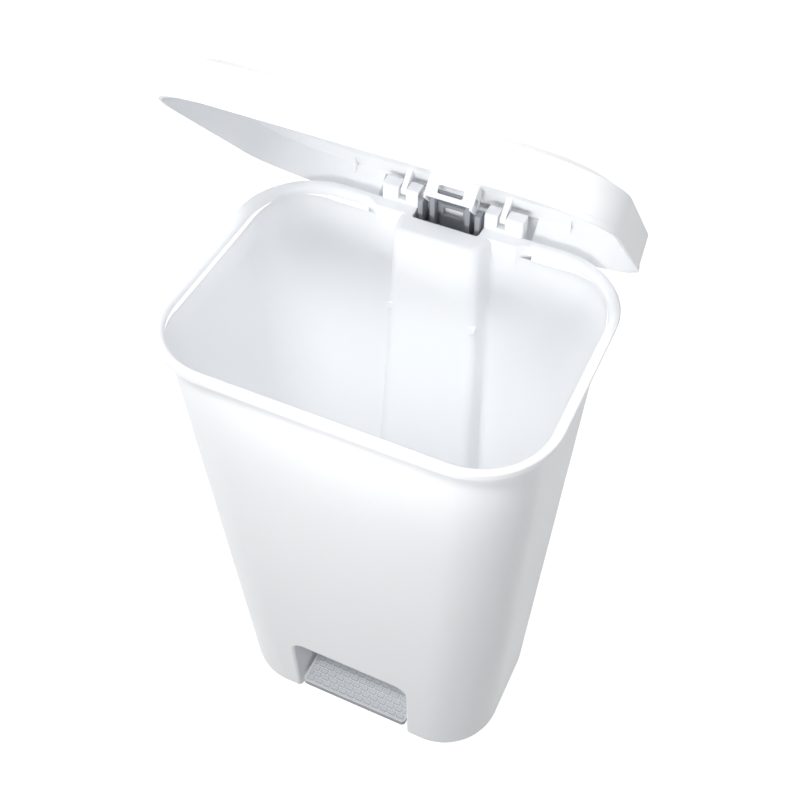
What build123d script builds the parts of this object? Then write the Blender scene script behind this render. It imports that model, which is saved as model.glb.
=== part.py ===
from build123d import *
import os
from math import asin, atan2, cos, degrees, radians, sin, tan

os.makedirs("parts", exist_ok=True)

# A white step-on kitchen can of about 50 litres.  Millimetres, +Z up, +X to the right seen from
# the front, front towards -Y.  The origin is on the floor, under the centre of the rim.
# The lid stands open and the pedal is down, as when a foot holds it.

# ---- driving dimensions ---------------------------------------------------------------------
# rim of the tub
RIM_WIDTH = 410.0
RIM_DEPTH = 304.0
RIM_HEIGHT = 619.0
RIM_RADIUS = 82.5
LIP_WIDTH = 9.5
LIP_HEIGHT = 10.0
LIP_DRAFT = 1.5
LIP_OVERHANG = 12.8
FLARE_HEIGHT = 40.0
FLARE_STEPS = 4

# tapered wall and foot
BASE_WIDTH = 333.8
FRONT_DRAFT = 23.8
REAR_DRAFT = 34.2
WALL_TOP_RADIUS = 66.0
BASE_RADIUS = 72.5
WALL = 2.5
FLOOR = 3.0
FOOT_FILLET = 16.0
INNER_FILLET = 12.0

# pedal bay in the front of the foot, and the tunnel from it to the rear channel
BAY_WIDTH = 151.0
BAY_HEIGHT = 126.0
BAY_RADIUS = 16.0
BAY_EDGE = 4.0
BAY_BACK_GAP = 10.5
TUNNEL_WIDTH = 56.0
TUNNEL_HEIGHT = 66.0

# channel for the push rod up the inside of the rear wall
CHANNEL_TOP_WIDTH = 92.0
CHANNEL_BASE_WIDTH = 128.0
CHANNEL_FLARE_TOP = 5.0
CHANNEL_FLARE_BASE = 12.0
CHANNEL_DEPTH = 32.0
CHANNEL_FILLET = 12.0
CHANNEL_ROOT = 7.0
DECK_FILLET = 7.0

# hinge block behind the rim, with the lifter's slot between its two halves
BLOCK_WIDTH = 156.0
BLOCK_RISE = 18.0
BLOCK_DROP = 51.0
BLOCK_SLOPE = 24.0
BLOCK_LAP = 2.0
BLOCK_OVERHANG = 15.0
BLOCK_END = 14.0
SLOT_WIDTH = 74.0
SLOT_REACH = 18.0
SLOT_BACK_WALL = 4.0
SLOT_BACK_RISE = 10.0

# lid and its hinge
HINGE_BEHIND_RIM = 7.0
HINGE_ABOVE_RIM = 11.5
LID_OPEN = 48.4
LID_SIDE_LAP = 2.7
LID_FRONT_LAP = 3.5
LID_BACK_GAP = 9.0
LID_LAP = 7.5
LID_SKIRT = 34.6
LID_CROWN = 7.2
LID_DRAFT = 1.5
LID_SHOULDER = 20.0
LID_WALL = 2.0
LID_TOP_WALL = 2.2
BEAD_HEIGHT = 4.0
BEAD_STEP = 0.8
POCKET_GAP = 8.0
POCKET_DEPTH = 12.0
POCKET_LIFT = 6.5
POCKET_ROOF = 2.5
GUSSET_X = 120.0
GUSSET_SIZE = 15.0
GUSSET_THICK = 2.4
ARM_INSET = 18.0
ARM_THICK = 6.0
ARM_BOSS = 6.0
ARM_GAP = 1.5
PIN_RADIUS = 2.5
PIN_INSET = 4.0
PIN_COVER = 8.0
RUNNING = 0.05

# lifter: socket under the lid, cross bar, grey head, push rod
SOCKET_GAP = 2.5
SOCKET_FRONT = 24.4
SOCKET_BACK = 3.0
SOCKET_DROP = 3.1
CHEEK_DROP = 5.5
SOCKET_WALL = 2.5
WINDOW_WIDTH = 28.0
WINDOW_HEIGHT = 9.0
WINDOW_RISE = 6.7
BAR_RADIUS = 2.5
BAR_AHEAD = 8.5
BAR_ABOVE = 16.6
BAR_PLAY = 0.5
BAR_END = 1.5
HEAD_GAP = 3.0
HEAD_WALL = 5.0
HEAD_DEPTH = 13.0
WING_DROP = 13.0
EAR_GAP = 2.0
EAR_THICK = 5.0
EAR_RADIUS = 3.4
HEAD_CLEARANCE = 10.2
PANEL_GAP = 2.0
PANEL_THICK = 2.5
PANEL_DROP = 9.0
ROD_RADIUS = 3.0
ROD_TO_WALL = 14.7
ROLL_PIN_RADIUS = 1.5
GUIDE_WIDTH = 44.0
GUIDE_THICK = 10.0
GUIDE_LOW = 150.0
GUIDE_DROP = 88.0
GUIDE_GAP = 3.0

# pedal
STROKE = 15.8
AXLE_Z = 22.0
AXLE_RADIUS = 3.0
REAR_ARM = 50.0
TREAD_GAP = 4.1
TREAD_SETBACK = 1.6
TREAD_DEPTH = 67.0
TREAD_TOP = 28.0
TREAD_THICK = 8.5
TREAD_RADIUS = 5.0
PLATFORM_THICK = 6.0
PLATFORM_INSET = 7.0
LEVER_WIDTH = 28.0
HUB_RADIUS = 9.0
HUB_WIDTH = 34.0
FORK_GAP = 12.0
FORK_WIDTH = 24.0
LINK_RADIUS = 2.5
LINK_PLAY = 0.3
LINK_TRAVEL = 1.6
FOOT_BLOCK = 11.0
STRAP_DEPTH = 24.0
STRAP_THICK = 3.0
BEARING_WIDTH = 10.0
BEARING_DEPTH = 26.0
BEARING_TOP = 42.0
CAP_TOP = 14.0
CAP_BOTTOM = 8.0
STOP_PAD_DEPTH = 16.0

# rear cover and screws
COVER_THICK = 2.0
COVER_LAP = 6.0
COVER_BOTTOM = 14.0
COVER_CLEARANCE = 3.0
SCREW_RADIUS = 1.6
SCREW_HEAD = 3.6
SCREW_LENGTH = 10.0
POST_RADIUS = 4.5

# ---- places worked out from them --------------------------------------------------------------
WALL_TOP = RIM_HEIGHT - LIP_HEIGHT
TOP_FRONT = -(RIM_DEPTH / 2 - LIP_OVERHANG)
TOP_REAR = RIM_DEPTH / 2 - LIP_OVERHANG
BASE_FRONT = TOP_FRONT + FRONT_DRAFT
BASE_REAR = TOP_REAR - REAR_DRAFT
LEAN = atan2(REAR_DRAFT, WALL_TOP)

BLOCK_TOP = RIM_HEIGHT + BLOCK_RISE
BLOCK_BOTTOM = RIM_HEIGHT - BLOCK_DROP
BLOCK_FRONT_Y = RIM_DEPTH / 2 - BLOCK_LAP
BLOCK_BACK_Y = RIM_DEPTH / 2 + BLOCK_OVERHANG
SLOT_FRONT_Y = RIM_DEPTH / 2 - SLOT_REACH
SLOT_BACK_Y = BLOCK_BACK_Y - SLOT_BACK_WALL
SLOT_BACK_TOP = RIM_HEIGHT + SLOT_BACK_RISE
COVER_TOP = BLOCK_BOTTOM - BLOCK_SLOPE - COVER_CLEARANCE

HINGE_Y = RIM_DEPTH / 2 + HINGE_BEHIND_RIM
HINGE_Z = RIM_HEIGHT + HINGE_ABOVE_RIM
HINGE = Axis((0, HINGE_Y, HINGE_Z), (1, 0, 0))
ARM_X = SLOT_WIDTH / 2 + ARM_INSET
PIN_INNER_X = SLOT_WIDTH / 2 + PIN_INSET
PIN_OUTER_X = BLOCK_WIDTH / 2 - PIN_COVER
LID_WIDTH = RIM_WIDTH + 2 * LID_SIDE_LAP
LID_FRONT_Y = -RIM_DEPTH / 2 - LID_FRONT_LAP
LID_BACK_Y = BLOCK_BACK_Y + LID_BACK_GAP
LID_RADIUS = RIM_RADIUS + LID_SIDE_LAP
LID_BOTTOM = RIM_HEIGHT - LID_LAP
LID_TOP = LID_BOTTOM + LID_SKIRT + LID_CROWN

BAR_Y = HINGE_Y - BAR_AHEAD
BAR_Z = HINGE_Z + BAR_ABOVE
HEAD_WIDTH = SLOT_WIDTH - 2 * HEAD_GAP
WING_TOP = BAR_Z - WING_DROP
HEAD_FLOOR = BLOCK_BOTTOM + STROKE + HEAD_CLEARANCE
PANEL_Y = SLOT_BACK_Y - PANEL_GAP - PANEL_THICK
PANEL_TOP = BLOCK_TOP - PANEL_DROP
SOCKET_WIDTH = HEAD_WIDTH - 2 * (HEAD_WALL + SOCKET_GAP)
GUIDE_HIGH = BLOCK_BOTTOM - GUIDE_DROP

SWING = degrees(asin(STROKE / 2 / REAR_ARM))
LINK_Z = AXLE_Z + REAR_ARM * sin(radians(SWING))
LINK_Y = BASE_REAR + LINK_Z * tan(LEAN) - ROD_TO_WALL
AXLE_Y = LINK_Y - REAR_ARM * cos(radians(SWING))
TREAD_WIDTH = BAY_WIDTH - 2 * TREAD_GAP
TREAD_FRONT_Y = BASE_FRONT + TREAD_SETBACK
TREAD_BACK_Y = TREAD_FRONT_Y + TREAD_DEPTH
BAY_BACK_Y = TREAD_BACK_Y + BAY_BACK_GAP


def ring(z, half_width, front, rear, radius):
    """Rounded rectangle lying at height z."""
    outline = RectangleRounded(2 * half_width, rear - front, radius)
    return Pos(0, (front + rear) / 2, z) * outline


def wall_ring(z, inset=0.0):
    """Section of the tub's outer wall at height z, drawn in by inset."""
    up = z / WALL_TOP
    half = BASE_WIDTH / 2 + (RIM_WIDTH / 2 - LIP_OVERHANG - BASE_WIDTH / 2) * up
    front = BASE_FRONT + (TOP_FRONT - BASE_FRONT) * up
    rear = BASE_REAR + (TOP_REAR - BASE_REAR) * up
    radius = BASE_RADIUS + (WALL_TOP_RADIUS - BASE_RADIUS) * up
    return ring(z, half - inset, front + inset, rear - inset, radius - inset)


def rim_ring(z, inset=0.0):
    """Section of the rim, drawn in by inset."""
    half_depth = RIM_DEPTH / 2 - inset
    return ring(z, RIM_WIDTH / 2 - inset, -half_depth, half_depth, RIM_RADIUS - inset)


def block(x0, x1, y0, y1, z0, z1):
    """Box between two corners."""
    size = Box(x1 - x0, y1 - y0, z1 - z0)
    return Pos((x0 + x1) / 2, (y0 + y1) / 2, (z0 + z1) / 2) * size


def both(shape):
    """The shape and its mirror image across the middle plane."""
    return shape + mirror(shape, Plane.YZ)


def cross_pin(x0, x1, y, z, radius):
    """Round bar along X."""
    bar = Pos((x0 + x1) / 2, y, z) * Rot(0, 90, 0) * Cylinder(radius, x1 - x0)
    return bar


def side_plate(points, x0, x1):
    """Plate with an outline given in Y and Z, between two values of X."""
    outline = Plane.YZ * make_face(Polyline(*points, close=True))
    return Pos(x0, 0, 0) * extrude(outline, x1 - x0)


def rear_wall_y(z):
    """Outer face of the tub's rear wall at height z."""
    return BASE_REAR + z * tan(LEAN)


def channel_prism(shrink):
    """The channel's volume: tapered, deepest side towards the middle of the tub."""
    faces = []
    for z in (-1.0, RIM_HEIGHT + 20.0):
        up = z / RIM_HEIGHT
        half = (CHANNEL_BASE_WIDTH + (CHANNEL_TOP_WIDTH - CHANNEL_BASE_WIDTH) * up) / 2 - shrink
        flare = CHANNEL_FLARE_BASE + (CHANNEL_FLARE_TOP - CHANNEL_FLARE_BASE) * up
        front = rear_wall_y(z) - CHANNEL_DEPTH + shrink
        rear = rear_wall_y(z) + 12
        wide = half + flare * (rear - front) / CHANNEL_DEPTH
        points = [(-half, front), (half, front), (wide, rear), (-wide, rear)]
        faces.append(Pos(0, 0, z) * make_face(Polyline(*points, close=True)))
    prism = loft(faces, ruled=True)
    corners = prism.edges().filter_by(lambda e: abs(e.tangent_at(0.5).Z) > 0.9).sort_by(Axis.Y)[:2]
    return fillet(corners, CHANNEL_FILLET - shrink)


# ---- tub ------------------------------------------------------------------------------------
def tub_outside():
    wall = loft([wall_ring(0), wall_ring(WALL_TOP + 1)], ruled=True)
    foot_edges = wall.faces().sort_by(Axis.Z)[0].edges()
    wall = fillet(foot_edges, FOOT_FILLET)
    lip = loft([rim_ring(WALL_TOP, LIP_DRAFT), rim_ring(RIM_HEIGHT)], ruled=True)
    lip = fillet(lip.faces().sort_by(Axis.Z)[-1].edges(), LIP_DRAFT)
    return wall + lip


def tub_inside():
    low = loft([wall_ring(FLOOR, WALL), wall_ring(RIM_HEIGHT - FLARE_HEIGHT, WALL)], ruled=True)
    low = fillet(low.faces().sort_by(Axis.Z)[0].edges(), INNER_FILLET)
    mouth = loft([flare_ring(step / FLARE_STEPS) for step in range(FLARE_STEPS + 1)])
    above = [rim_ring(RIM_HEIGHT, LIP_WIDTH), rim_ring(RIM_HEIGHT + 5, LIP_WIDTH)]
    return low + mouth + loft(above, ruled=True)


def flare_ring(share):
    """Section of the mouth's flare, from the wall at share 0 to the lip at share 1."""
    z = RIM_HEIGHT - FLARE_HEIGHT * (1 - share)
    up = z / WALL_TOP
    drawn = share * share
    half_width = BASE_WIDTH / 2 + (RIM_WIDTH / 2 - LIP_OVERHANG - BASE_WIDTH / 2) * up - WALL
    front = BASE_FRONT + (TOP_FRONT - BASE_FRONT) * up + WALL
    rear = BASE_REAR + (TOP_REAR - BASE_REAR) * up - WALL
    radius = BASE_RADIUS + (WALL_TOP_RADIUS - BASE_RADIUS) * up - WALL
    half_width += (RIM_WIDTH / 2 - LIP_WIDTH - half_width) * drawn
    front += (-RIM_DEPTH / 2 + LIP_WIDTH - front) * drawn
    rear += (RIM_DEPTH / 2 - LIP_WIDTH - rear) * drawn
    radius += (RIM_RADIUS - LIP_WIDTH - radius) * drawn
    return ring(z, half_width, front, rear, radius)


def bay(grow):
    """The pedal's bay, open to the front and to the floor."""
    half = BAY_WIDTH / 2 + grow
    room = block(-half, half, BASE_FRONT - 60, BAY_BACK_Y + grow, -1, BAY_HEIGHT + grow)
    top = room.edges().filter_by(Axis.Y).group_by(Axis.Z)[-1]
    return fillet(top, BAY_RADIUS + grow)


def outside_with_bay():
    """The tub's outside with the bay cut in and its mouth rounded over."""
    shape = tub_outside() - bay(0)
    half, front = BAY_WIDTH / 2 + 0.5, BASE_FRONT / 2 + TOP_FRONT / 4
    mouth = [
        e
        for e in shape.edges()
        if abs(e.center().X) < half and e.center().Y < front and 0.5 < e.center().Z < BAY_HEIGHT + 1
    ]
    return fillet(mouth, BAY_EDGE)


def tunnel(grow):
    half = TUNNEL_WIDTH / 2 + grow
    end = rear_wall_y(0) - CHANNEL_DEPTH + 8
    return block(-half, half, BAY_BACK_Y - 1, end, -1, TUNNEL_HEIGHT + grow)


def hinge_block():
    half = BLOCK_WIDTH / 2
    low = side_plate(
        [
            (TOP_REAR - 3, BLOCK_BOTTOM - BLOCK_SLOPE),
            (TOP_REAR - 3, RIM_HEIGHT),
            (BLOCK_BACK_Y, RIM_HEIGHT),
            (BLOCK_BACK_Y, BLOCK_BOTTOM),
        ],
        -half,
        half,
    )
    high = block(-half, half, BLOCK_FRONT_Y, BLOCK_BACK_Y, RIM_HEIGHT - 1, BLOCK_TOP)
    high = fillet(high.edges().filter_by(Axis.Z) + high.edges().filter_by(Axis.X).group_by(Axis.Z)[-1], 2.5)
    return low + high + both(block_end())


def block_end():
    """Sloping end that runs the block's low part into the flared mouth."""
    half, back = BLOCK_WIDTH / 2, TOP_REAR + LIP_OVERHANG / 2
    plan = [(half - 1, TOP_REAR - 3), (half + BLOCK_END, back), (half - 1, back)]
    wedge = extrude(make_face(Polyline(*plan, close=True)), FLARE_HEIGHT)
    return Pos(0, 0, RIM_HEIGHT - FLARE_HEIGHT) * wedge


def hinge_block_cuts():
    half = SLOT_WIDTH / 2
    back = SLOT_BACK_Y
    slot = block(-half, half, SLOT_FRONT_Y, back, BLOCK_BOTTOM + 2, BLOCK_TOP + 5)
    slot = fillet(slot.edges().filter_by(Axis.Z), 4)
    low_back = block(-half, half, back - 5, BLOCK_BACK_Y + 5, SLOT_BACK_TOP, BLOCK_TOP + 5)
    arm_half = ARM_THICK / 2 + ARM_GAP
    notch_floor = HINGE_Z - ARM_BOSS - ARM_GAP
    notch = block(
        ARM_X - arm_half, ARM_X + arm_half, BLOCK_FRONT_Y - 5, BLOCK_BACK_Y + 5, notch_floor, BLOCK_TOP + 5
    )
    hole = cross_pin(SLOT_WIDTH / 2 - 5, PIN_OUTER_X, HINGE_Y, HINGE_Z, PIN_RADIUS)
    return slot + low_back + both(notch) + both(hole)


def bearing_blocks():
    """Two blocks at the tunnel's sides that carry the pedal's axle."""
    outer = TUNNEL_WIDTH / 2 + 1
    inner = TUNNEL_WIDTH / 2 - BEARING_WIDTH
    half = BEARING_DEPTH / 2
    bearing = block(inner, outer, AXLE_Y - half, AXLE_Y + half, CAP_TOP, BEARING_TOP)
    seat = cross_pin(inner - 1, outer - 1, AXLE_Y, AXLE_Z, AXLE_RADIUS)
    mouth = block(inner - 1, outer - 1, AXLE_Y - AXLE_RADIUS, AXLE_Y + AXLE_RADIUS, CAP_TOP - 1, AXLE_Z)
    for dy in (-1, 1):
        place = Pos(TUNNEL_WIDTH / 2 - BEARING_WIDTH / 2, AXLE_Y + dy * BEARING_DEPTH / 3, CAP_TOP)
        bearing -= place * Cylinder(SCREW_RADIUS, 2 * SCREW_LENGTH)
    return both(bearing - seat - mouth)


def rear_plane():
    """Plane of the rear wall's outer face: local x to the left, local y up the wall."""
    return Plane(origin=(0, BASE_REAR, 0), x_dir=(-1, 0, 0), z_dir=(0, cos(LEAN), -sin(LEAN)))


def cover_screw_places():
    """Height up the rear wall and half distance of the four cover screws."""
    low, high = COVER_BOTTOM + 26, COVER_TOP - 26
    return [(sx * (channel_half(z) - POST_RADIUS - 2), z) for z in (low, high) for sx in (-1, 1)]


def channel_half(z):
    """Half width of the channel's hollow where it meets the rear wall."""
    up = z / RIM_HEIGHT
    width = CHANNEL_BASE_WIDTH + (CHANNEL_TOP_WIDTH - CHANNEL_BASE_WIDTH) * up
    flare = CHANNEL_FLARE_BASE + (CHANNEL_FLARE_TOP - CHANNEL_FLARE_BASE) * up
    return width / 2 - WALL + flare


def cover_posts():
    posts = Part()
    depth = CHANNEL_DEPTH - 1
    for x, z in cover_screw_places():
        post = Pos(x, z, -depth / 2) * Cylinder(POST_RADIUS, depth)
        hole = Pos(x, z, 0) * Cylinder(SCREW_RADIUS, 2 * SCREW_LENGTH)
        posts += rear_plane() * (post - hole)
    return posts


def hollow_with_channel():
    """The tub's inside with the channel left standing, softened where it meets the rear wall."""
    hollow = tub_inside() - bay(WALL) - tunnel(WALL) - channel_prism(0)
    root = [e for e in hollow.edges() if e.length > WALL_TOP / 2 and e.center().Y > BASE_REAR + 8]
    return fillet(root, CHANNEL_ROOT)


def deck_edges(body):
    """Edges of the channel's flat top inside the rim."""
    half = CHANNEL_TOP_WIDTH / 2 + CHANNEL_FLARE_TOP
    deck = body.edges().filter_by_position(Axis.Z, RIM_HEIGHT - 0.1, RIM_HEIGHT + 0.1)
    deck = deck.filter_by(lambda e: abs(e.center().X) < half)
    return deck.filter_by(lambda e: 0 < e.center().Y < TOP_REAR - WALL)


def can_body():
    body = outside_with_bay() - hollow_with_channel()
    body = fillet(deck_edges(body), DECK_FILLET)
    under_rim = block(-RIM_WIDTH, RIM_WIDTH, -RIM_DEPTH, RIM_DEPTH, -2, RIM_HEIGHT - WALL)
    shaft = channel_prism(WALL) & under_rim
    body = body - shaft + hinge_block() - hinge_block_cuts()
    body = body - tunnel(0)
    half = TUNNEL_WIDTH / 2 + 1
    strap = block(-half, half, -STRAP_DEPTH / 2, STRAP_DEPTH / 2, 0, STRAP_THICK)
    return body + strap + bearing_blocks() + cover_posts()


def rear_cover():
    """Flat cover over the channel, screwed to the posts from behind."""
    low, high = channel_half(COVER_BOTTOM) + COVER_LAP, channel_half(COVER_TOP) + COVER_LAP
    outline = make_face(
        Polyline(
            (-low, COVER_BOTTOM), (low, COVER_BOTTOM), (high, COVER_TOP), (-high, COVER_TOP), close=True
        )
    )
    outline = fillet(outline.vertices(), 8)
    plate = extrude(outline, COVER_THICK)
    for x, z in cover_screw_places():
        plate -= Pos(x, z, 0) * Cylinder(SCREW_RADIUS, 4 * COVER_THICK)
    return rear_plane() * plate


def screw(length=SCREW_LENGTH):
    """Pan-head screw with its head on the plane, pointing to -z."""
    head = Pos(0, 0, 1.0) * Cylinder(SCREW_HEAD, 2.0)
    head = fillet(head.edges().sort_by(Axis.Z)[-1], 0.9)
    drive = Pos(0, 0, 2.0) * (Box(4.0, 0.9, 1.6) + Box(0.9, 4.0, 1.6))
    return head - drive + Pos(0, 0, -length / 2) * Cylinder(SCREW_RADIUS, length)


def rear_cover_screws():
    return [rear_plane() * Pos(x, z, COVER_THICK) * screw() for x, z in cover_screw_places()]


# ---- lid, drawn closed and then swung open -----------------------------------------------------
def lid_ring(z, inset):
    front, rear = LID_FRONT_Y + inset, LID_BACK_Y - inset
    return ring(z, LID_WIDTH / 2 - inset, front, rear, LID_RADIUS - inset)


def lid_bowl(inset, drop):
    """Skirt, sloping shoulder and flat top, drawn in by inset and lowered by drop."""
    low = LID_BOTTOM - (1 if inset else 0)
    edge = LID_BOTTOM + LID_SKIRT - drop
    skirt = loft([lid_ring(low, inset), lid_ring(edge, LID_DRAFT + inset)], ruled=True)
    flat = LID_DRAFT + LID_SHOULDER + inset
    crown = loft([lid_ring(edge, LID_DRAFT + inset), lid_ring(LID_TOP - drop, flat)], ruled=True)
    return skirt + crown


def lid_shell():
    outside = lid_bowl(0, 0)
    bead = extrude(lid_ring(LID_BOTTOM, -BEAD_STEP), BEAD_HEIGHT)
    shell = outside + bead - lid_bowl(LID_WALL, LID_TOP_WALL)
    return shell + lid_pocket(0) - lid_pocket(LID_WALL) + lid_gussets() + lid_arms()


def lid_pocket(inset):
    """Box at the back of the skirt that goes over the hinge block, drawn in by inset."""
    half = BLOCK_WIDTH / 2 + POCKET_GAP + LID_WALL - inset
    front = LID_BACK_Y - 6 * LID_WALL if inset else LID_BACK_Y - LID_WALL
    back = LID_BACK_Y + POCKET_DEPTH - inset
    low = LID_BOTTOM - 5 if inset else LID_BOTTOM + POCKET_LIFT
    box = block(-half, half, front, back, low, LID_BOTTOM + LID_SKIRT - POCKET_ROOF - inset)
    return fillet(box.edges().filter_by(Axis.Z).group_by(Axis.Y)[-1], 6 - inset)


def lid_gussets():
    top = LID_TOP - LID_TOP_WALL - 4
    back = LID_BACK_Y - LID_WALL
    corner = [(back + 0.5, top), (back - GUSSET_SIZE, top), (back + 0.5, top - GUSSET_SIZE)]
    slope = LID_CROWN * GUSSET_SIZE / LID_SHOULDER
    corner[0] = (back + 0.5, top - slope)
    gusset = side_plate(corner, GUSSET_X - GUSSET_THICK / 2, GUSSET_X + GUSSET_THICK / 2)
    return both(gusset)


def lid_arms():
    """Two arms that reach down into the notches of the hinge block."""
    x0, x1 = ARM_X - ARM_THICK / 2, ARM_X + ARM_THICK / 2
    top = LID_TOP - LID_TOP_WALL + 0.5
    web = block(x0, x1, HINGE_Y - ARM_BOSS, HINGE_Y + 2, HINGE_Z, top)
    boss = cross_pin(x0, x1, HINGE_Y, HINGE_Z, ARM_BOSS)
    bore = cross_pin(x0 - 1, x1 + 1, HINGE_Y, HINGE_Z, PIN_RADIUS + RUNNING)
    return both(web + boss - bore)


def bar_in_lid(angle):
    """Place of the cross bar in the closed lid's frame when the lid stands at this angle."""
    lift = STROKE * (angle / LID_OPEN - 1)
    y, z = -BAR_AHEAD + lift * tan(LEAN), BAR_ABOVE + lift
    a = radians(angle)
    return (y * cos(a) - z * sin(a), y * sin(a) + z * cos(a))


def lifter_socket():
    """Box under the lid whose cheeks hold the bar in curved slots."""
    half = SOCKET_WIDTH / 2
    top = LID_TOP - LID_TOP_WALL - HINGE_Z
    front = block(-half, half, -SOCKET_FRONT, -SOCKET_FRONT + SOCKET_WALL, -SOCKET_DROP, top)
    rise = WINDOW_RISE
    window = Pos(0, -SOCKET_FRONT, rise) * Box(WINDOW_WIDTH, 4 * SOCKET_WALL, WINDOW_HEIGHT)
    window = fillet(window.edges().filter_by(Axis.Y), 2)
    corner = LID_SHOULDER / 2
    cheek = side_plate(
        [
            (-SOCKET_FRONT, -CHEEK_DROP),
            (-SOCKET_BACK, -CHEEK_DROP),
            (-SOCKET_BACK, top - corner),
            (-SOCKET_BACK - corner, top),
            (-SOCKET_FRONT, top),
        ],
        half - SOCKET_WALL,
        half,
    )
    path = ThreePointArc(bar_in_lid(-1.5), bar_in_lid(LID_OPEN / 2), bar_in_lid(LID_OPEN + 1.5))
    track = extrude(Plane.YZ * SlotArc(path, 2 * (BAR_RADIUS + BAR_PLAY)), SOCKET_WIDTH, both=True)
    socket = front - window + both(cheek) - track
    return Pos(0, HINGE_Y, HINGE_Z) * socket


def swung_open(shape):
    return shape.rotate(HINGE, -LID_OPEN)


def hinge_pin(side):
    pin = cross_pin(PIN_INNER_X, PIN_OUTER_X, HINGE_Y, HINGE_Z, PIN_RADIUS)
    return pin if side > 0 else mirror(pin, Plane.YZ)


# ---- lifter ---------------------------------------------------------------------------------
def rod_point(z):
    """Centre of the push rod at height z."""
    return rear_wall_y(z) - ROD_TO_WALL


def rod_plane(z):
    return Plane(origin=(0, rod_point(z), z), x_dir=(1, 0, 0), z_dir=(0, sin(LEAN), cos(LEAN)))


def rod_piece(z0, z1, radius):
    length = (z1 - z0) / cos(LEAN)
    return rod_plane(z0) * Pos(0, 0, length / 2) * Cylinder(radius, length)


def push_rod():
    return rod_piece(LINK_Z + 10, HEAD_FLOOR - 2, ROD_RADIUS) - roll_pin()


def roll_pin():
    z = HEAD_FLOOR - 12
    return cross_pin(-9, 9, rod_point(z), z, ROLL_PIN_RADIUS)


def lifter_head():
    half = HEAD_WIDTH / 2
    front, back = BAR_Y - HEAD_DEPTH / 2, BAR_Y + HEAD_DEPTH / 2
    wall = block(half - HEAD_WALL, half, front, back, HEAD_FLOOR, WING_TOP)
    wall = fillet(wall.edges().filter_by(Axis.X).group_by(Axis.Z)[-1], 3)
    floor = block(-half, half, rod_point(HEAD_FLOOR) - 8, PANEL_Y + PANEL_THICK, HEAD_FLOOR, HEAD_FLOOR + 5)
    panel = block(-half, half, PANEL_Y, PANEL_Y + PANEL_THICK, HEAD_FLOOR, PANEL_TOP)
    link = block(half - HEAD_WALL, half, back - 1, PANEL_Y + 1, HEAD_FLOOR, PANEL_TOP - 3)
    raised = block(-14, 14, PANEL_Y - 2, PANEL_Y + 1, HEAD_FLOOR, PANEL_TOP)
    opening = block(-11, 11, PANEL_Y - 5, PANEL_Y + 5, PANEL_TOP - 15, PANEL_TOP - 4)
    stem = block(-9, 9, rod_point(HEAD_FLOOR) - 8, rod_point(HEAD_FLOOR) + 9, HEAD_FLOOR - 22, HEAD_FLOOR + 1)
    head = both(wall) + floor + panel + both(link) + raised - opening + both(head_ear()) + stem
    head -= rod_piece(HEAD_FLOOR - 40, HEAD_FLOOR - 2, ROD_RADIUS)
    head -= roll_pin()
    return head - cross_pin(-half - 1, half + 1, BAR_Y, BAR_Z, BAR_RADIUS)


def head_ear():
    """Ear inside the socket that carries the cross bar; it stands on the head's floor."""
    x1 = SOCKET_WIDTH / 2 - SOCKET_WALL - EAR_GAP
    x0 = x1 - EAR_THICK
    post = block(x0, x1, BAR_Y - EAR_RADIUS, BAR_Y + EAR_RADIUS, HEAD_FLOOR, BAR_Z)
    foot = block(x0, x1, BAR_Y, PANEL_Y + 1, HEAD_FLOOR, PANEL_TOP - 3)
    return post + cross_pin(x0, x1, BAR_Y, BAR_Z, EAR_RADIUS) + foot


def lifter_bar():
    half = SOCKET_WIDTH / 2 + BAR_END
    return cross_pin(-half, half, BAR_Y, BAR_Z, BAR_RADIUS)


def rod_foot():
    """Block on the rod's lower end with a slot for the pedal's link pin."""
    half = FOOT_BLOCK / 2
    body = block(-half, half, LINK_Y - 8, LINK_Y + 9, LINK_Z - 7, LINK_Z + 26)
    slot_width = 2 * (LINK_RADIUS + LINK_PLAY)
    slot = SlotOverall(2 * LINK_TRAVEL + slot_width, slot_width)
    body -= Pos(-half - 1, LINK_Y, LINK_Z) * extrude(Plane.YZ * slot, FOOT_BLOCK + 2)
    return body - rod_piece(LINK_Z + 10, LINK_Z + 60, ROD_RADIUS)


def rod_guide(z):
    """Block across the channel with a bore for the rod."""
    front = -(rod_point(z) - (rear_wall_y(z) - CHANNEL_DEPTH + WALL)) * cos(LEAN)
    rear = (rear_wall_y(z) - rod_point(z)) * cos(LEAN) - GUIDE_GAP
    body = block(-GUIDE_WIDTH / 2, GUIDE_WIDTH / 2, front, rear, -GUIDE_THICK / 2, GUIDE_THICK / 2)
    body = fillet(body.edges().filter_by(Axis.Z), 2)
    return rod_plane(z) * (body - Cylinder(ROD_RADIUS + RUNNING, 2 * GUIDE_THICK))


# ---- pedal ----------------------------------------------------------------------------------
def pedal_tread():
    half = TREAD_WIDTH / 2
    slab = block(-half, half, TREAD_FRONT_Y, TREAD_BACK_Y, TREAD_TOP - TREAD_THICK, TREAD_TOP)
    slab = fillet(slab.edges().filter_by(Axis.Z), TREAD_RADIUS)
    slab = fillet(slab.faces().sort_by(Axis.Z)[-1].edges(), 2.5)
    for x, y in tread_screw_places():
        slab -= Pos(x, y, TREAD_TOP - TREAD_THICK) * Cylinder(SCREW_RADIUS, 2 * (SCREW_LENGTH - PLATFORM_THICK))
    return slab


def tread_screw_places():
    y0 = TREAD_FRONT_Y + TREAD_DEPTH / 2
    return [(sx * TREAD_WIDTH / 3, y0 + dy) for sx in (-1, 1) for dy in (-14, 14)]


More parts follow.
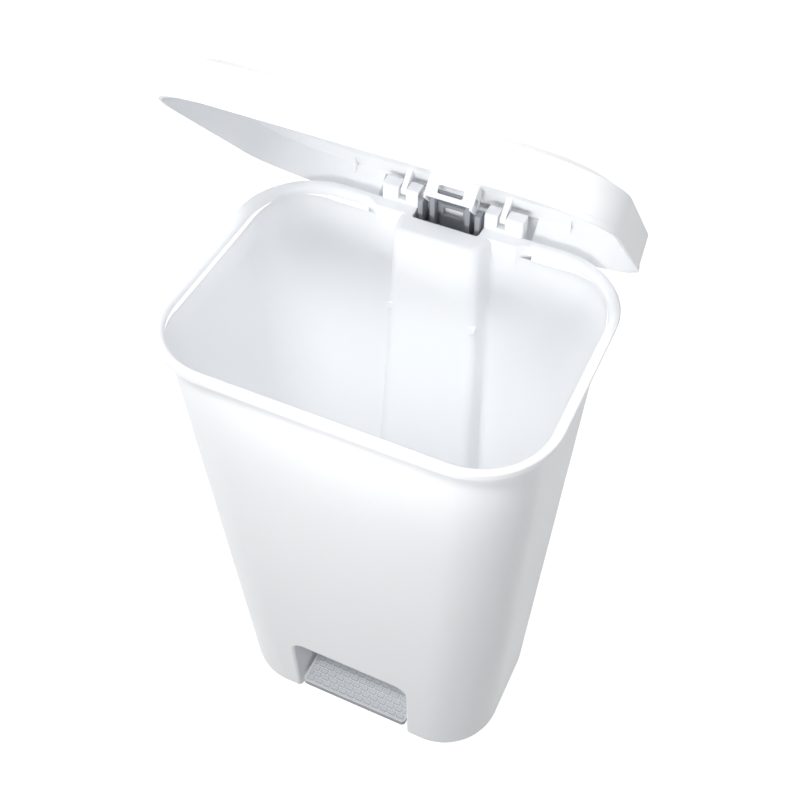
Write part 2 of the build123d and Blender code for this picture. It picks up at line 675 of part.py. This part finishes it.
def pedal_lever():
    half = TREAD_WIDTH / 2 - PLATFORM_INSET
    top = TREAD_TOP - TREAD_THICK
    back = TREAD_BACK_Y
    platform = block(-half, half, TREAD_FRONT_Y + PLATFORM_INSET, back, top - PLATFORM_THICK, top)
    arm = side_plate(
        [
            (back - 20, top - PLATFORM_THICK),
            (back - 20, top),
            (back + 3, top),
            (back + 6, top + 9),
            (AXLE_Y - 10, AXLE_Z + 8),
            (AXLE_Y, AXLE_Z + HUB_RADIUS),
            (LINK_Y + 6, LINK_Z + 6),
            (LINK_Y + 6, LINK_Z - 6),
            (AXLE_Y + 6, AXLE_Z - 7),
            (AXLE_Y - 12, AXLE_Z - 7),
        ],
        -LEVER_WIDTH / 2,
        LEVER_WIDTH / 2,
    )
    narrow = both(block(FORK_WIDTH / 2, LEVER_WIDTH, AXLE_Y + 16, LINK_Y + 20, 0, 60))
    fork = block(-FORK_GAP / 2, FORK_GAP / 2, LINK_Y - 14, LINK_Y + 20, 0, 60)
    hub = cross_pin(-HUB_WIDTH / 2, HUB_WIDTH / 2, AXLE_Y, AXLE_Z, HUB_RADIUS)
    lever = platform + (arm - narrow - fork) + hub
    lever -= cross_pin(-HUB_WIDTH, HUB_WIDTH, AXLE_Y, AXLE_Z, AXLE_RADIUS + RUNNING)
    lever -= cross_pin(-FORK_WIDTH, FORK_WIDTH, LINK_Y, LINK_Z, LINK_RADIUS)
    for x, y in tread_screw_places():
        lever -= Pos(x, y, top - PLATFORM_THICK) * Cylinder(SCREW_RADIUS, 4 * PLATFORM_THICK)
    return lever


def tread_screws():
    under = TREAD_TOP - TREAD_THICK - PLATFORM_THICK
    return [Pos(x, y, under) * Rot(180, 0, 0) * screw() for x, y in tread_screw_places()]


def pedal_axle():
    half = TUNNEL_WIDTH / 2
    return cross_pin(-half, half, AXLE_Y, AXLE_Z, AXLE_RADIUS)


def link_pin():
    return cross_pin(-FORK_WIDTH / 2, FORK_WIDTH / 2, LINK_Y, LINK_Z, LINK_RADIUS)


def axle_cap(side):
    """Cap that closes a bearing block from below."""
    outer = TUNNEL_WIDTH / 2 - 0.4
    inner = TUNNEL_WIDTH / 2 - BEARING_WIDTH
    half = BEARING_DEPTH / 2
    cap = block(inner, outer, AXLE_Y - half, AXLE_Y + half, CAP_BOTTOM, CAP_TOP)
    cap += block(
        inner, outer, AXLE_Y - AXLE_RADIUS + 0.2, AXLE_Y + AXLE_RADIUS - 0.2, CAP_TOP, AXLE_Z - AXLE_RADIUS
    )
    for dy in (-1, 1):
        place = Pos(TUNNEL_WIDTH / 2 - BEARING_WIDTH / 2, AXLE_Y + dy * BEARING_DEPTH / 3, CAP_BOTTOM)
        cap -= place * Cylinder(SCREW_RADIUS, 4 * (CAP_TOP - CAP_BOTTOM))
    return cap if side > 0 else mirror(cap, Plane.YZ)


def axle_cap_screws():
    x = TUNNEL_WIDTH / 2 - BEARING_WIDTH / 2
    places = [(sx * x, AXLE_Y + dy * BEARING_DEPTH / 3) for sx in (-1, 1) for dy in (-1, 1)]
    return [Pos(x, y, CAP_BOTTOM) * Rot(180, 0, 0) * screw(SCREW_LENGTH + 4) for x, y in places]


def pedal_stop_pad():
    """Rubber pad under the platform that meets the floor when the pedal is down."""
    under = TREAD_TOP - TREAD_THICK - PLATFORM_THICK
    y0 = TREAD_FRONT_Y + PLATFORM_INSET + 4
    return block(-22, 22, y0, y0 + STOP_PAD_DEPTH, 2.0, under)


parts = {
    "can_body": can_body(),
    "rear_cover": rear_cover(),
    "rear_cover_screws": Compound(children=rear_cover_screws()),
    "hinge_pin_left": hinge_pin(-1),
    "hinge_pin_right": hinge_pin(1),
    "rod_guide_lower": rod_guide(GUIDE_LOW),
    "rod_guide_upper": rod_guide(GUIDE_HIGH),
    "pedal_axle": pedal_axle(),
    "axle_cap_left": axle_cap(-1),
    "axle_cap_right": axle_cap(1),
    "axle_cap_screws": Compound(children=axle_cap_screws()),
    "lid_shell": swung_open(lid_shell()),
    "lifter_socket": swung_open(lifter_socket()),
    "push_rod": push_rod(),
    "lifter_head": lifter_head(),
    "lifter_bar": lifter_bar(),
    "head_roll_pin": roll_pin(),
    "rod_foot": rod_foot(),
    "pedal_lever": pedal_lever(),
    "pedal_tread": pedal_tread(),
    "tread_screws": Compound(children=tread_screws()),
    "link_pin": link_pin(),
    "pedal_stop_pad": pedal_stop_pad(),
}

for name, shape in parts.items():
    export_step(shape, f"parts/{name}.step")
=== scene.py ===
import math

import bpy
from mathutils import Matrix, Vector


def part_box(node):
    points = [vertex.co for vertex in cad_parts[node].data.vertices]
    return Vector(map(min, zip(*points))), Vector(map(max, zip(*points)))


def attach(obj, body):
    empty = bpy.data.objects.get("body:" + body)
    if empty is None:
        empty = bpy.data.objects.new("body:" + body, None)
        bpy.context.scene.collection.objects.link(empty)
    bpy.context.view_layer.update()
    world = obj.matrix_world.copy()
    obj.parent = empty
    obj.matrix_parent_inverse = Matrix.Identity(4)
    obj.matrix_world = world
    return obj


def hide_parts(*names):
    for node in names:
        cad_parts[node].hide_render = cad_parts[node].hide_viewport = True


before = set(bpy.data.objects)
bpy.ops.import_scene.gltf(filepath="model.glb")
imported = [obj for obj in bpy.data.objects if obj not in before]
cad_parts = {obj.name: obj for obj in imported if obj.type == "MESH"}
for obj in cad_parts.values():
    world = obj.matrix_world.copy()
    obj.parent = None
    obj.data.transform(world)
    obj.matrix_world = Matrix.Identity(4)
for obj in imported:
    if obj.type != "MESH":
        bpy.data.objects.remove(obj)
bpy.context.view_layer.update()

# Camera: to the right of the can and well above it, looking down past the rim at the pedal.
camera_data = bpy.data.cameras.new("camera")
camera_data.lens = 53.38
camera_data.sensor_width = 36.0
camera_data.clip_start = 0.05
camera = bpy.data.objects.new("camera", camera_data)
camera_place = Vector((0.3521, -0.7249, 1.4120))
camera_aim = Vector((-0.0243, 0.0797, 0.3954))
camera.location = camera_place
camera.rotation_euler = (camera_aim - camera_place).to_track_quat("-Z", "Y").to_euler()
bpy.context.scene.collection.objects.link(camera)
bpy.context.scene.camera = camera


# Floor: a wide white studio sheet with no visible edge. It glows, so that it stays white, and
# its glow doesn't light the can.
# Under the can the glow is black in a rectangle, a painted shadow of the can.
class Value:
    """A value in a material's nodes. Arithmetic on it adds Math nodes."""

    def __init__(self, finish, socket):
        self.finish = finish
        self.socket = socket

    def __radd__(self, other):
        return self.finish.maths("ADD", other, self)

    def __rsub__(self, other):
        return self.finish.maths("SUBTRACT", other, self)

    def __mul__(self, other):
        return self.finish.maths("MULTIPLY", self, other)

    def __rmul__(self, other):
        return self.finish.maths("MULTIPLY", other, self)


class Finish:
    """A material being mixed, from the piece's own coordinates up to its surface."""

    def __init__(self, name):
        self.material = bpy.data.materials.new(name)
        self.material.use_nodes = True
        self.nodes = self.material.node_tree.nodes
        self.links = self.material.node_tree.links
        self.nodes.clear()

    def node(self, kind, sockets=None, **settings):
        made = self.nodes.new("ShaderNode" + kind)
        for name, setting in settings.items():
            setattr(made, name, setting)
        for name, value in (sockets or {}).items():
            if isinstance(value, Value):
                self.links.new(value.socket, made.inputs[name])
            else:
                made.inputs[name].default_value = value
        return made

    def value(self, kind, output, sockets=None, **settings):
        return Value(self, self.node(kind, sockets, **settings).outputs[output])

    def maths(self, operation, *values):
        return self.value("Math", 0, dict(enumerate(values)), operation=operation)

    def place(self):
        return self.value("TexCoord", "Object")

    def noise(self, scale, detail=2.0):
        sockets = {"Vector": self.place(), "Scale": scale, "Detail": detail}
        return self.value("TexNoise", 0, sockets)

    def bump(self, height, strength, distance):
        sockets = {"Height": height, "Strength": strength, "Distance": distance}
        return self.value("Bump", 0, sockets)

    def mix(self, factor, first, second):
        sockets = {0: factor, 6: (*first, 1), 7: (*second, 1)}
        return self.value("Mix", 2, sockets, data_type="RGBA")

    def surface(self, **sockets):
        words = {name.replace("_", " "): value for name, value in sockets.items()}
        shader = self.node("BsdfPrincipled", words)
        end = self.node("OutputMaterial")
        self.links.new(shader.outputs[0], end.inputs["Surface"])
        return self.material


bpy.ops.object.select_all(action="DESELECT")
bpy.ops.mesh.primitive_plane_add(size=60.0, location=(0, 0, 0))
floor = bpy.context.object
floor.name = "floor"
sheet = Finish("white_sheet")
# The rectangle under the can where the floor's glow is left out: a painted shadow.
shadow_patch_half_width = 0.100
shadow_patch_half_depth = 0.085
across = sheet.value("SeparateXYZ", "X", {"Vector": sheet.place()})
along = sheet.value("SeparateXYZ", "Y", {"Vector": sheet.place()})
in_shadow_across = sheet.maths("LESS_THAN", sheet.maths("ABSOLUTE", across), shadow_patch_half_width)
in_shadow_along = sheet.maths("LESS_THAN", sheet.maths("ABSOLUTE", along), shadow_patch_half_depth)
# Glow is white on the open floor and black in the rectangle, painting the can's shadow.
glow_with_painted_shadow = sheet.mix(in_shadow_across * in_shadow_along, (1.0, 1.0, 1.0), (0.0, 0.0, 0.0))
sheet_tone = sheet.mix(sheet.noise(3.0), (0.90, 0.90, 0.90), (0.92, 0.92, 0.92))
floor.data.materials.append(
    sheet.surface(
        Base_Color=sheet_tone, Roughness=0.9, Emission_Color=glow_with_painted_shadow, Emission_Strength=0.9
    )
)
floor.visible_diffuse = False


# Lamps: broad soft ones overhead, to the left, in front and behind, and three narrow ones that
# reach the inside of the tub, the underside of the lid and the lid's right end.
def lamp(name, kind, place, aim, power, **shape):
    data = bpy.data.lights.new(name, kind)
    for key, setting in shape.items():
        setattr(data, key, setting)
    data.energy = power
    light = bpy.data.objects.new(name, data)
    light.location = place
    light.rotation_euler = (Vector(aim) - Vector(place)).to_track_quat("-Z", "Y").to_euler()
    bpy.context.scene.collection.objects.link(light)


middle = (0.0, 0.0, 0.45)
lamp("overhead", "AREA", (-0.25, -0.95, 1.9), (0, 0.02, 0.5), 2.6, shape="DISK", size=0.5)
lamp("left_side", "AREA", (-2.3, -1.2, 1.5), middle, 12.5, shape="DISK", size=1.5)
lamp("behind", "AREA", (-0.9, 2.2, 1.5), middle, 16.0, shape="DISK", size=1.5)
lamp("in_front", "AREA", (-0.9, -2.3, 1.2), middle, 13.5, shape="DISK", size=1.5)
lamp(
    "into_mouth",
    "SPOT",
    (0.03, -0.74, 2.0),
    (0.0, 0.05, 0.45),
    138.0,
    spot_size=math.radians(21),
    spot_blend=0.8,
    shadow_soft_size=0.2,
)
lamp(
    "under_lid",
    "SPOT",
    (0.1, -1.0, 0.84),
    (0.02, 0.12, 0.76),
    40.0,
    spot_size=math.radians(28),
    spot_blend=0.9,
    shadow_soft_size=0.15,
)
lamp(
    "from_right",
    "SPOT",
    (0.95, -0.5, 1.75),
    (0.0, 0.03, 0.66),
    23.0,
    spot_size=math.radians(24),
    spot_blend=0.9,
    shadow_soft_size=0.2,
)
world = bpy.data.worlds.new("studio")
world.use_nodes = True
backdrop = world.node_tree.nodes["Background"]
backdrop.inputs["Color"].default_value = (0.94, 0.96, 1.0, 1)
backdrop.inputs["Strength"].default_value = 0.24
bpy.context.scene.world = world
bpy.context.scene.view_settings.view_transform = "Standard"
bpy.context.scene.view_settings.gamma = 1.25

# Tub: one deep white moulding in polypropylene, with a rolled rim, a channel up the back wall
# for the push rod and a bay in the foot for the pedal. The mould leaves a fine satin grain.
white = Finish("white_polypropylene")
white_grain = white.noise(900.0)
white_cloud = white.noise(6.0)
white_plastic = white.surface(
    Base_Color=white.mix(white_cloud, (0.905, 0.922, 0.945), (0.918, 0.934, 0.955)),
    Roughness=0.44 - 0.06 * white_cloud,
    Normal=white.bump(white_grain, 0.12, 0.0003),
    IOR=1.49,
    Subsurface_Weight=0.3,
    Subsurface_Radius=(1.0, 1.0, 1.0),
    Subsurface_Scale=0.006,
)


def dress(material, *nodes):
    """Give whole parts of the frame one finish."""
    for node in nodes:
        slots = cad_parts[node].data.materials
        slots.clear()
        slots.append(material)


dress(white_plastic, "can_body")

# Rod guides: two grey moulded blocks across the channel, each with a bore that keeps the push
# rod in line. Their plastic is a little glossier than the pedal's, so that the rod slides.
slide = Finish("grey_slide_plastic")
slide_grain = slide.noise(1300.0)
slide_plastic = slide.surface(
    Base_Color=slide.mix(slide.noise(25.0), (0.36, 0.38, 0.42), (0.41, 0.43, 0.47)),
    Roughness=0.34 + 0.05 * slide_grain,
    Normal=slide.bump(slide_grain, 0.08, 0.0002),
    IOR=1.48,
)
dress(slide_plastic, "rod_guide_lower", "rod_guide_upper")

# Rear cover: a flat white moulded plate over the channel. Four plated steel pan-head screws
# hold it to posts in the tub, with fine marks on their plating.
dress(white_plastic, "rear_cover")
plating = Finish("plated_steel")
plating_marks = plating.noise(400.0)
plated_steel = plating.surface(
    Base_Color=plating.mix(plating_marks, (0.52, 0.52, 0.53), (0.62, 0.62, 0.63)),
    Roughness=0.28 + 0.10 * plating_marks,
    Normal=plating.bump(plating_marks, 0.05, 0.0001),
    Metallic=1.0,
)
dress(plated_steel, "rear_cover_screws")

# Pedal axle: a plated steel bar across the tunnel behind the bay. At each end a grey moulded
# cap closes its bearing from below, with two steel screws.
grey = Finish("grey_polypropylene")
grey_grain = grey.noise(1100.0)
grey_plastic = grey.surface(
    Base_Color=grey.mix(grey.noise(12.0), (0.36, 0.38, 0.42), (0.40, 0.42, 0.46)),
    Roughness=0.46 + 0.06 * grey_grain,
    Normal=grey.bump(grey_grain, 0.15, 0.0003),
    IOR=1.49,
)
dress(plated_steel, "pedal_axle", "axle_cap_screws")
dress(grey_plastic, "axle_cap_left", "axle_cap_right")

# Pedal lever: a grey moulding that rocks on the axle, with a platform under the tread. A steel
# pin through its forked tail moves the push rod, and a black rubber pad under the platform
# meets the floor when the pedal is down.
dress(grey_plastic, "pedal_lever")
dress(plated_steel, "link_pin")
rubber = Finish("black_rubber")
rubber_grain = rubber.noise(200.0)
black_rubber = rubber.surface(
    Base_Color=rubber.mix(rubber_grain, (0.020, 0.020, 0.020), (0.035, 0.035, 0.035)),
    Roughness=0.75 + 0.10 * rubber_grain,
    Normal=rubber.bump(rubber_grain, 0.3, 0.0003),
)
dress(black_rubber, "pedal_stop_pad")


# Tread pad: a pale grey moulded plate on the platform, screwed from below, with rounded
# corners and a low ridge inside its edge. Its upright faces carry a painted shade, darker than
# its top.
def select_faces(piece, wanted):
    bpy.ops.object.mode_set(mode="EDIT")
    bpy.ops.mesh.select_mode(type="FACE")
    bpy.ops.mesh.select_all(action="DESELECT")
    bpy.ops.object.mode_set(mode="OBJECT")
    for face in piece.data.polygons:
        face.select = wanted(face.center, face.normal)
    bpy.ops.object.mode_set(mode="EDIT")


def round_corners(piece, radius, segments):
    """Round the four upright edges of a block."""
    bpy.ops.object.mode_set(mode="EDIT")
    bpy.ops.mesh.select_mode(type="EDGE")
    bpy.ops.mesh.select_all(action="DESELECT")
    bpy.ops.object.mode_set(mode="OBJECT")
    points = piece.data.vertices
    for edge in piece.data.edges:
        start, end = (points[index].co for index in edge.vertices)
        edge.select = abs(start.z - end.z) > 0.9 * (start - end).length
    bpy.ops.object.mode_set(mode="EDIT")
    bpy.ops.mesh.bevel(offset=radius, segments=segments)


def block(name, low, high):
    """A block between two corners, with its place in its mesh."""
    low = Vector(low)
    high = Vector(high)
    bpy.ops.object.select_all(action="DESELECT")
    bpy.ops.mesh.primitive_cube_add(size=1.0, location=(low + high) / 2, scale=high - low)
    made = bpy.context.object
    made.name = name
    bpy.ops.object.transform_apply(location=True, rotation=True, scale=True)
    return made


def paint_side_shade(piece, top, painted_side_shade):
    """Finish a piece in two tones: its own colour for what faces up, and a painted shade for the
    rest.
    """
    bpy.ops.object.mode_set(mode="OBJECT")
    piece.data.materials.append(top)
    piece.data.materials.append(painted_side_shade)
    for face in piece.data.polygons:
        face.material_index = 0 if face.normal.z > 0.9 else 1


pad_low, pad_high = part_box("pedal_tread")
relief = 0.0006
corner_radius = 0.005
ridge_inset = 0.0020
ridge_width = 0.0012
pad_top = pad_high[2] - relief
tread_pad = block("tread_pad", pad_low, (pad_high[0], pad_high[1], pad_top))
round_corners(tread_pad, corner_radius, 5)
select_faces(tread_pad, lambda middle, normal: normal.z > 0.9)
bpy.ops.mesh.inset(thickness=ridge_inset)
bpy.ops.mesh.extrude_region_move(TRANSFORM_OT_translate={"value": (0, 0, relief)})
bpy.ops.mesh.inset(thickness=ridge_width)
bpy.ops.mesh.extrude_region_move(TRANSFORM_OT_translate={"value": (0, 0, -relief)})
pale = Finish("pale_grey_plastic")
pale_grain = pale.noise(1500.0)
pale_plastic = pale.surface(
    Base_Color=pale.mix(pale.noise(40.0), (0.76, 0.78, 0.81), (0.82, 0.84, 0.87)),
    Roughness=0.40 + 0.05 * pale_grain,
    Normal=pale.bump(pale_grain, 0.15, 0.0002),
)
# Painted shade: a darker copy of the pale grey, put on the upright faces of the pad and the
# bricks.
shade = Finish("painted_shade_grey_plastic")
shade_grain = shade.noise(1500.0)
painted_shade_plastic = shade.surface(
    Base_Color=shade.mix(shade.noise(40.0), (0.20, 0.21, 0.24), (0.25, 0.26, 0.29)),
    Roughness=0.50 + 0.05 * shade_grain,
    Normal=shade.bump(shade_grain, 0.15, 0.0002),
)
# The pad's top keeps the pale grey; its upright faces get the painted shade.
paint_side_shade(tread_pad, pale_plastic, painted_shade_plastic)
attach(tread_pad, "pedal")
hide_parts("pedal_tread")

# Tread bricks: low raised blocks in staggered rows, moulded in one with the pad, for grip. Every
# second row is shifted by half a brick and has a half brick at both of its ends.
brick_length = 0.0096
half_brick_length = 0.0042
brick_depth = 0.0060
brick_corner = 0.0010
brick_slope = 0.0005
brick_pitch = 0.0115
row_pitch = 0.0076
first_row = pad_low[1] + 0.0068
row_count = 8
bricks_in_row = 12
half_brick_place = 0.0660


def brick(name, length):
    low = (-length / 2, -brick_depth / 2, pad_top - relief)
    high = (length / 2, brick_depth / 2, pad_top)
    made = block(name, low, high)
    round_corners(made, brick_corner, 2)
    select_faces(made, lambda middle, normal: normal.z > 0.9)
    bpy.ops.mesh.inset(thickness=brick_slope)
    bpy.ops.transform.translate(value=(0, 0, relief))
    return made


brick_finish = Finish("brick_grey_plastic")
brick_grain = brick_finish.noise(1500.0)
brick_plastic = brick_finish.surface(
    Base_Color=brick_finish.mix(
        brick_finish.noise(60.0), (0.62, 0.65, 0.68), (0.69, 0.72, 0.75)
    ),
    Roughness=0.45 + 0.05 * brick_grain,
    Normal=brick_finish.bump(brick_grain, 0.2, 0.0002),
)
whole_brick = brick("tread_brick", brick_length)
# Brick tops keep their grey; their upright faces get the painted shade.
paint_side_shade(whole_brick, brick_plastic, painted_shade_plastic)
half_brick = brick("tread_half_brick", half_brick_length)
paint_side_shade(half_brick, brick_plastic, painted_shade_plastic)
laid = []
for row in range(row_count):
    shifted = row % 2
    count = bricks_in_row - shifted
    places = [(column - (count - 1) / 2) * brick_pitch for column in range(count)]
    patterns = [(whole_brick, x) for x in places]
    if shifted:
        patterns += [(half_brick, -half_brick_place), (half_brick, half_brick_place)]
    for pattern, x in patterns:
        copy = pattern.copy()
        copy.data = pattern.data.copy()
        copy.location = (x, first_row + row * row_pitch, 0)
        bpy.context.scene.collection.objects.link(copy)
        laid.append(copy)
bpy.data.objects.remove(whole_brick)
bpy.data.objects.remove(half_brick)
bpy.ops.object.select_all(action="DESELECT")
for copy in laid:
    copy.select_set(True)
bpy.context.view_layer.objects.active = laid[0]
bpy.ops.object.join()
tread_bricks = bpy.context.object
tread_bricks.name = "tread_bricks"
bpy.ops.object.transform_apply(location=True, rotation=True, scale=True)
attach(tread_bricks, "pedal")

# Tread screws: plated steel, driven up through the lever into the pad from below.
# Their heads are only seen from under the pedal.
dress(plated_steel, "tread_screws")

# Push rod: a plated steel rod that leans back up the channel. The grey moulded block on its
# lower end has a slot for the pedal's link pin.
dress(plated_steel, "push_rod")
dress(slide_plastic, "rod_foot")

# Lifter head: a dark grey moulding held on top of the rod by a steel roll pin. Its two ears
# carry a plastic cross bar, which slides in the curved slots under the lid.
head = Finish("head_grey_plastic")
head_grain = head.noise(1100.0)
head_plastic = head.surface(
    Base_Color=head.mix(head.noise(30.0), (0.22, 0.235, 0.265), (0.27, 0.285, 0.315)),
    Roughness=0.46 + 0.06 * head_grain,
    Normal=head.bump(head_grain, 0.15, 0.0003),
    IOR=1.49,
)
dress(head_plastic, "lifter_head", "lifter_bar")
dress(plated_steel, "head_roll_pin")

# Lid: a shallow white moulding with a sloping shoulder. The white box under it has two cheeks
# with curved slots for the cross bar, and two plated steel pins hinge its arms on the tub.
dress(white_plastic, "lid_shell", "lifter_socket")
dress(plated_steel, "hinge_pin_left", "hinge_pin_right")
